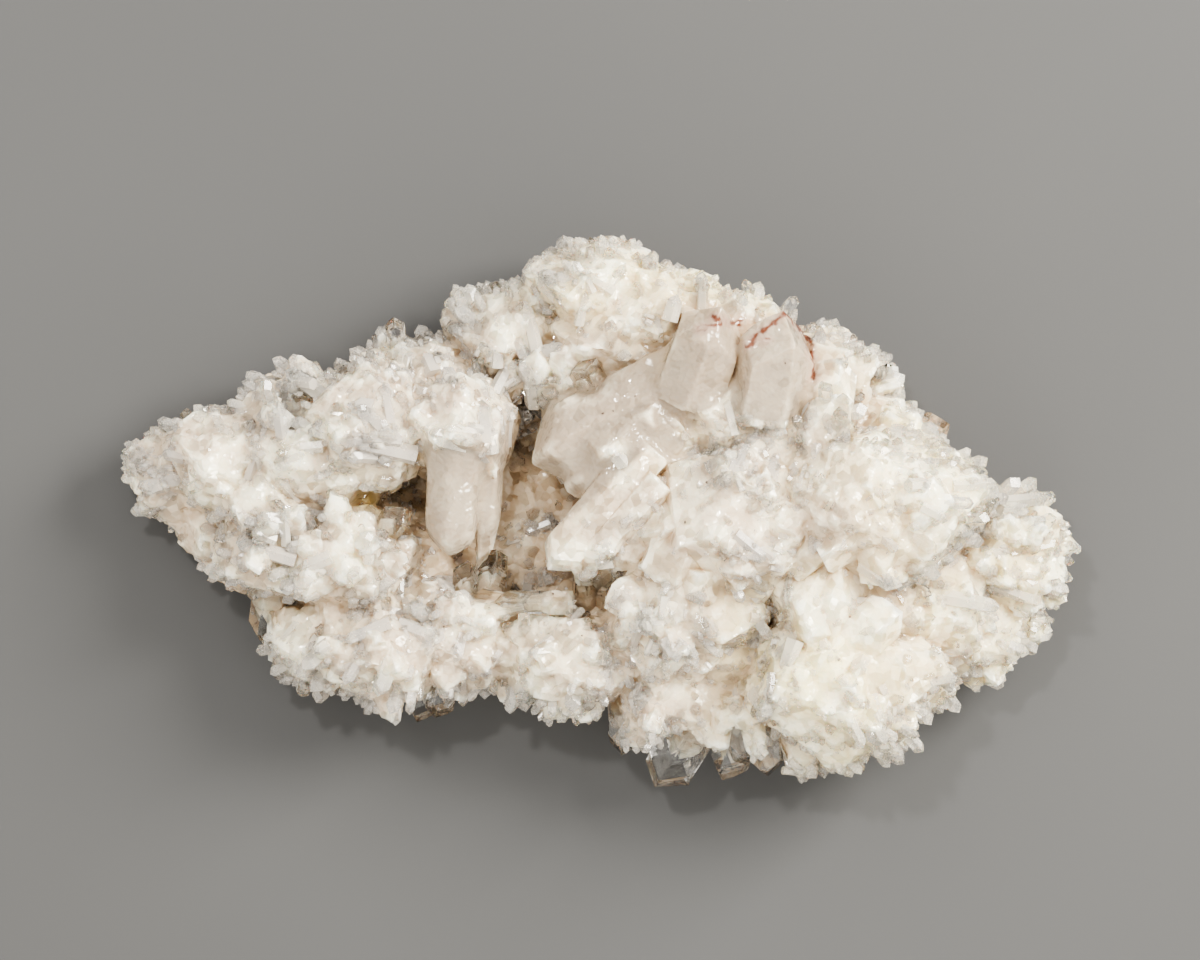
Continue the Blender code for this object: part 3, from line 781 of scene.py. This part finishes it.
# %% Clear quartz finish
def make_clear_quartz():
    """Transparent quartz with faint growth lines."""
    material, tree, shader = new_material("clear_quartz")
    place = add(tree, "ShaderNodeTexCoord").outputs["Object"]
    veils = noise(tree, place, 0.0035, detail=3.0)
    veil = ramp(tree, veils, ((0.45, (0.98, 0.975, 0.97)), (0.7, (0.93, 0.92, 0.90))))
    tree.links.new(veil, shader.inputs["Base Color"])
    haze = ramp(tree, noise(tree, place, 0.0045, detail=3.0), ((0.45, 0.015), (0.75, 0.10)))
    tree.links.new(haze, shader.inputs["Roughness"])
    shader.inputs["IOR"].default_value = QUARTZ_IOR
    shader.inputs["Transmission Weight"].default_value = 1.0
    stretched = add(tree, "ShaderNodeMapping", values={"Scale": (1.0, 1.0, 4.0)}, links={"Vector": place}).outputs[0]
    lines = noise(tree, stretched, 0.0012, detail=2.0)
    bump = add(tree, "ShaderNodeBump", values={"Strength": 0.16, "Distance": 0.0002}, links={"Height": lines})
    tree.links.new(bump.outputs["Normal"], shader.inputs["Normal"])
    depth = add(tree, "ShaderNodeVolumeAbsorption", values={"Color": (0.93, 0.90, 0.86, 1.0), "Density": 14.0})
    tree.links.new(depth.outputs[0], tree.nodes["Material Output"].inputs["Volume"])
    return material


clear_quartz = make_clear_quartz()

# %% Make the clear crystals
clear_rng = random.Random(5)
clear_mesh = bmesh.new()
for name, root, tip, width, thickness, turn in CLEAR_CRYSTALS:
    root, tip = settle(root), settle(tip)
    wide = width * MM * 1.02
    crystal = crystal_mesh((tip - root).length / wide, clear_rng)
    bmesh.ops.bevel(
        crystal, geom=crystal.edges[:], offset=0.018, offset_type="OFFSET", segments=1, profile=0.5,
        affect="EDGES", material=-1,
    )
    bmesh.ops.scale(crystal, vec=(wide, wide * thickness, wide), verts=crystal.verts)
    bmesh.ops.transform(crystal, matrix=aim_matrix(root, tip - root, math.radians(turn)), verts=crystal.verts)
    part = bpy.data.meshes.new("part")
    crystal.to_mesh(part)
    clear_mesh.from_mesh(part)
    bpy.data.meshes.remove(part)
    crystal.free()
for vert in clear_mesh.verts:
    vert.co = [min(max(vert.co[axis], low[axis]), high[axis]) for axis in range(3)]
bmesh.ops.recalc_face_normals(clear_mesh, faces=clear_mesh.faces)
clear_data = bpy.data.meshes.new("clear_points")
clear_mesh.to_mesh(clear_data)
clear_points = place_piece("clear_points", clear_data, clear_quartz)
print("clear points:", len(clear_data.polygons), "faces")

# %% [markdown]
# ## Small crystals
# A coat of small crystals covers the mounds, thick at the rims and thin where the quartz is massive. Each mound grew
# outwards, so its crystals point away from its heart. Setting out thousands of crystals one by one would be slow,
# so a few prototypes are copied with arrays of numbers: each copy is turned, scaled and moved, and all of them join
# in one mesh for each part of the cluster. A crystal keeps how far up its root-to-tip line each point lies, which
# the finish uses to let a cloudy root clear towards a glassy tip. It takes the quartz's tone from where it stands.

# %% Where the mounds have their hearts
MOUND_HEARTS = (
    (-53.5, 5.0, 3.0), (-45.0, 6.0, 5.0), (-36.0, 7.5, 6.0), (-45.5, -2.5, 2.0), (-40.5, -3.5, 7.0),
    (-35.5, -16.0, 4.0), (-31.5, -6.0, 8.0), (-28.5, 10.0, 11.0), (-27.5, -17.0, 6.0), (-19.5, -15.0, 5.0),
    (-22.0, 15.5, 5.0), (-17.5, 10.0, 11.0), (-10.8, 21.5, 5.0), (-0.5, 26.8, 8.0), (8.0, 23.5, 10.0),
    (16.5, 21.0, 9.0), (1.0, 20.5, 9.0), (5.0, 9.5, 8.0), (-9.0, -2.5, -4.0), (18.0, 12.5, 10.0),
    (26.5, 16.5, 7.0), (35.2, 8.4, 7.0), (33.5, 0.2, 13.0), (17.0, -1.5, 12.0), (11.0, -11.5, 10.0),
    (-3.0, -18.0, 7.0), (-11.5, -16.8, 4.0), (9.0, -22.5, 5.0), (29.5, -20.5, 9.0), (20.0, -24.0, 5.0),
    (42.0, -11.0, 6.0), (50.0, -5.0, 5.0), (46.5, -14.2, 3.0),
)
hearts = np.array([settle(place) for place in MOUND_HEARTS])

# %% Prototypes
PROTOTYPE_LENGTHS = (1.5, 2.0, 2.6, 3.2, 4.0, 1.8)


def make_prototypes(rng):
    """Corner places, faces and root-to-tip shares of a few crystals one unit wide."""
    made = []
    for length in PROTOTYPE_LENGTHS:
        mesh = crystal_mesh(length, rng, taper=rng.uniform(0.62, 0.9))
        bmesh.ops.recalc_face_normals(mesh, faces=mesh.faces)
        mesh.verts.index_update()
        corners = np.array([vert.co for vert in mesh.verts])
        faces = [[vert.index for vert in face.verts] for face in mesh.faces]
        made.append((corners, faces, corners[:, 2] / corners[:, 2].max()))
        mesh.free()
    return made


prototypes = make_prototypes(random.Random(9))
print("prototype faces:", [len(faces) for _, faces, _ in prototypes])

# %% Places for the small crystals
body.normal_update()
faces_now = [face for face in body.faces]
face_area = np.array([face.calc_area() for face in faces_now])
face_place = np.array([face.calc_center_median() for face in faces_now])
face_normal = np.array([face.normal for face in faces_now])
face_vert = np.array([face.verts[0].index for face in faces_now])
on_clear = clear_share[face_vert]
on_smooth = smooth_share[face_vert]
face_hollow_shade = hollow_shade[face_vert]


def pick_faces(count, weight, rng):
    """Faces of the body picked by area and weight."""
    chance = face_area * weight
    return rng.choice(len(face_area), size=count, replace=False, p=chance / chance.sum())


def unit(vectors):
    """Vectors brought to length one."""
    return vectors / np.linalg.norm(vectors, axis=1)[:, None]


def crystal_frames(aims, rng):
    """For each aim, three axes with the last along the aim and the others turned at random."""
    helper = unit(rng.normal(size=aims.shape))
    side = unit(np.cross(aims, helper))
    other = np.cross(aims, side)
    return np.stack((side, other, aims), axis=2)


def growth_aims(index, rise, lay, scatter, rng):
    """Aims that rise off the skin and lie over towards the rim, away from the mound's heart."""
    away = face_place[index][:, None, :] - hearts[None, :, :]
    nearest = np.linalg.norm(away, axis=2).argmin(axis=1)
    from_heart = away[np.arange(len(index)), nearest]
    flow = unit(from_heart * (1.0, 1.0, 0.3)) + 0.7 * unit(face_place[index] * (1.0, 1.6, 0.0) + 1e-9)
    normal = face_normal[index]
    tangent = unit(flow - normal * np.sum(flow * normal, axis=1)[:, None])
    return unit(normal * rise + tangent * lay + rng.normal(0.0, scatter, (len(index), 3)))


def join_crystals(name, index, aims, widths, sink, bed, rng, material):
    """Copies of the prototypes at the picked faces, as one mesh."""
    turns = crystal_frames(aims, rng)
    kinds = rng.integers(0, len(prototypes), len(index))
    all_points, all_faces, all_shares, all_shade, bed_rows = [], [], [], [], []
    start = 0
    for row, face in enumerate(index):
        corners, faces, shares = prototypes[kinds[row]]
        wide = widths[row]
        place = face_place[face] - aims[row] * wide * corners[:, 2].max() * sink[row] - face_normal[face] * wide * bed
        moved = (corners * wide) @ turns[row].T + place
        if (moved < low).any() or (moved > high).any():
            continue
        all_points.append(moved)
        all_faces.extend([[start + corner for corner in loop] for loop in faces])
        all_shares.append(shares)
        bed_rows.append(np.full(len(corners), face_vert[face]))
        all_shade.append(np.full(len(corners), rng.random()))
        start += len(corners)
    data = bpy.data.meshes.new(name)
    data.from_pydata(np.concatenate(all_points), [], all_faces)
    data.update()
    set_attribute(data, "up_the_crystal", np.concatenate(all_shares))
    rows = np.concatenate(bed_rows)
    # The small crystals take the painted shade of the hollows and the painted light of the drift from the body
    # beneath.
    for attribute_name, values in (("hollow_shade", hollow_shade), ("tint_and_lit_end_drift", tint_and_lit_end_drift), ("cloud", cloud)):
        set_attribute(data, attribute_name, values[rows])
    set_attribute(data, "shade", np.concatenate(all_shade))
    piece = place_piece(name, data, material)
    data.calc_loop_triangles()
    print(name, len(all_points), "crystals", len(data.loop_triangles), "triangles")
    return piece


# %% Small crystal finishes
def make_small_crystal_quartz(name, root_clear, tip_clear, frost):
    """Cloudy at the root and clearing towards the tip."""
    material, tree, shader = new_material(name)
    place = add(tree, "ShaderNodeTexCoord").outputs["Object"]
    # This tone carries the painted shade and painted light of the body beneath the crystal.
    colour = quartz_colour(tree)
    bright = ramp(tree, attribute(tree, "shade"), ((0.0, (0.86, 0.85, 0.84)), (1.0, (1.0, 1.0, 1.0))))
    colour = mix_colour(tree, 1.0, colour, bright, blend="MULTIPLY")
    up = attribute(tree, "up_the_crystal")
    clear = ramp(tree, up, ((0.30, root_clear), (0.90, tip_clear)))
    colour = mix_colour(tree, clear, colour, (0.95, 0.94, 0.92))
    tree.links.new(colour, shader.inputs["Base Color"])
    tree.links.new(clear, shader.inputs["Transmission Weight"])
    gloss = ramp(tree, noise(tree, place, 0.0012, detail=2.0), ((0.35, frost * 0.3), (0.7, frost)))
    tree.links.new(gloss, shader.inputs["Roughness"])
    shader.inputs["IOR"].default_value = QUARTZ_IOR
    lines = noise(tree, place, 0.0004, detail=2.0)
    bump = add(tree, "ShaderNodeBump", values={"Strength": 0.18, "Distance": 0.0001}, links={"Height": lines})
    tree.links.new(bump.outputs["Normal"], shader.inputs["Normal"])
    return material


small_milky_quartz = make_small_crystal_quartz("small_milky_quartz", 0.50, 0.80, 0.35)
small_clear_quartz = make_small_crystal_quartz("small_clear_quartz", 0.90, 0.96, 0.12)

# %% Where small crystals may stand
coat_rng = np.random.default_rng(21)
upward = np.clip(face_normal[:, 2] * 1.2 + 0.75, 0.05, 1.0)
off_ground = np.clip((face_place[:, 2] - 1.5 * MM) / (2.0 * MM), 0.0, 1.0)
bare = (1.0 - 0.93 * on_smooth) * (1.0 - dense[face_vert]) * (1.0 - on_clear) * off_ground
REGIONS = (
    ("left", face_place[:, 0] < -20.0 * MM, 1.0),
    ("middle", (face_place[:, 0] >= -20.0 * MM) & (face_place[:, 0] < 14.0 * MM), 1.15),
    ("right", face_place[:, 0] >= 14.0 * MM, 1.35),
)


def width_draw(count, middle, spread_out, least, most):
    """Widths of small crystals: most near a middle value, a few much wider."""
    return np.clip(coat_rng.lognormal(middle, spread_out, count), least, most) * MM


# %% [markdown]
# ## Sheaves on the mounds
# The crystals on the mounds lie over towards the rim in sheaves, in patches with bare milky quartz between them,
# and they thin out in the hollows. They are frosted, so light passes through them blurred.

# %% Sheaves
stand = np.array([noise_at(Vector(place) / (9.0 * MM)) for place in face_place])
patches = np.clip(0.45 + stand * 2.2, 0.04, 1.0) * (1.0 - 0.35 * np.clip(face_hollow_shade * 1.3, 0.0, 1.0))
for region_name, region, share in REGIONS:
    picked = pick_faces(int(820 * share), region * upward * bare * patches, coat_rng)
    aims = growth_aims(picked, 0.50, 0.95, 0.13, coat_rng)
    widths = width_draw(len(picked), -0.02, 0.38, 0.5, 2.2)
    sink = coat_rng.uniform(0.58, 0.90, len(picked))
    name = f"sheaves_{region_name}"
    join_crystals(name, picked, aims, widths, sink, 0.30, coat_rng, small_milky_quartz)

# %% [markdown]
# ## Blades along the outline
# The outline in the photograph is a jagged fringe of blades that point outwards. They stand only on faces that look
# out from the piece, well above the ground, and they point away from its middle and a little up.

# %% Blades
facing_out = np.clip(1.15 - np.abs(face_normal[:, 2]) * 1.6, 0.0, 1.0) ** 2
high_enough = np.clip((face_place[:, 2] - 4.0 * MM) / (3.0 * MM), 0.0, 1.0)
outward = unit(face_place * (1.0, 1.7, 0.0) + 1e-9)
on_outline = np.clip(np.sum(outward * face_normal, axis=1), 0.0, 1.0)
for region_name, region, share in REGIONS:
    picked = pick_faces(int(400 * share), region * bare * facing_out * high_enough * on_outline, coat_rng)
    lift = np.zeros((len(picked), 3))
    lift[:, 2] = coat_rng.uniform(-0.1, 0.55, len(picked))
    aims = unit(outward[picked] + 0.5 * face_normal[picked] + lift + coat_rng.normal(0.0, 0.16, (len(picked), 3)))
    widths = width_draw(len(picked), 0.10, 0.32, 0.6, 2.0)
    sink = coat_rng.uniform(0.50, 0.80, len(picked))
    name = f"blades_{region_name}"
    join_crystals(name, picked, aims, widths, sink, 0.10, coat_rng, small_milky_quartz)

# %% [markdown]
# ## Clear glints
# Small clear crystals stand up between the others at every angle, and each catches the light in another way. They
# are all but water-clear, because the sparkle comes from light that passes through them.

# %% Glints
at_rim = np.clip(1.35 - np.abs(face_normal[:, 2]) * 1.1, 0.3, 1.0)
for region_name, region, share in REGIONS:
    picked = pick_faces(int(480 * share), region * upward * bare * at_rim, coat_rng)
    aims = growth_aims(picked, 0.85, 0.75, 0.34, coat_rng)
    widths = width_draw(len(picked), -0.10, 0.38, 0.45, 1.8)
    sink = coat_rng.uniform(0.50, 0.85, len(picked))
    name = f"glints_{region_name}"
    join_crystals(name, picked, aims, widths, sink, 0.10, coat_rng, small_clear_quartz)

# %% [markdown]
# ## Dark specks
# A few grains of dark mineral sit on the faces. Each is a tiny uneven grain, half sunk in the skin where it lies.

# %% Specks
SPECKS = (
    (29.25, -18.4, 0.55), (-31.0, -9.6, 0.42), (-6.0, -10.4, 0.40), (10.3, -1.9, 0.45), (0.2, 11.4, 0.50),
    (1.5, 11.7, 0.35), (-20.8, -15.0, 0.45), (-19.6, -14.4, 0.32), (22.6, 17.2, 0.35), (4.2, 13.5, 0.30),
    (-2.4, -15.5, 0.30), (30.6, -13.3, 0.32), (13.0, 2.9, 0.40), (-9.3, 21.4, 0.30),
)


def make_speck_material():
    """Dark brown mineral with a dull shine."""
    material, tree, shader = new_material("dark_speck")
    place = add(tree, "ShaderNodeTexCoord").outputs["Object"]
    colour = ramp(tree, noise(tree, place, 0.0003), ((0.3, (0.045, 0.028, 0.02)), (0.7, (0.13, 0.08, 0.055))))
    tree.links.new(colour, shader.inputs["Base Color"])
    tree.links.new(ramp(tree, noise(tree, place, 0.0002), ((0.3, 0.35), (0.7, 0.7))), shader.inputs["Roughness"])
    return material


skin = BVHTree.FromBMesh(body)
speck_rng = random.Random(8)
specks = bmesh.new()
for x, y, wide in SPECKS:
    above = settle((x, y, 0.0)) + Vector((0.0, 0.0, 0.1))
    hit, normal, _, _ = skin.ray_cast(above, Vector((0.0, 0.0, -1.0)))
    grain = bmesh.ops.create_icosphere(specks, subdivisions=1, radius=wide * MM / 2.0)["verts"]
    for vert in grain:
        vert.co *= speck_rng.uniform(0.65, 1.2)
    bmesh.ops.scale(specks, vec=(1.0, speck_rng.uniform(0.6, 1.0), 0.6), verts=grain)
    bmesh.ops.transform(specks, matrix=aim_matrix(hit, normal, speck_rng.uniform(0.0, 3.0)), verts=grain)
speck_data = bpy.data.meshes.new("dark_specks")
specks.to_mesh(speck_data)
specks.free()
dark_specks = place_piece("dark_specks", speck_data, make_speck_material())
print("dark specks:", len(SPECKS))
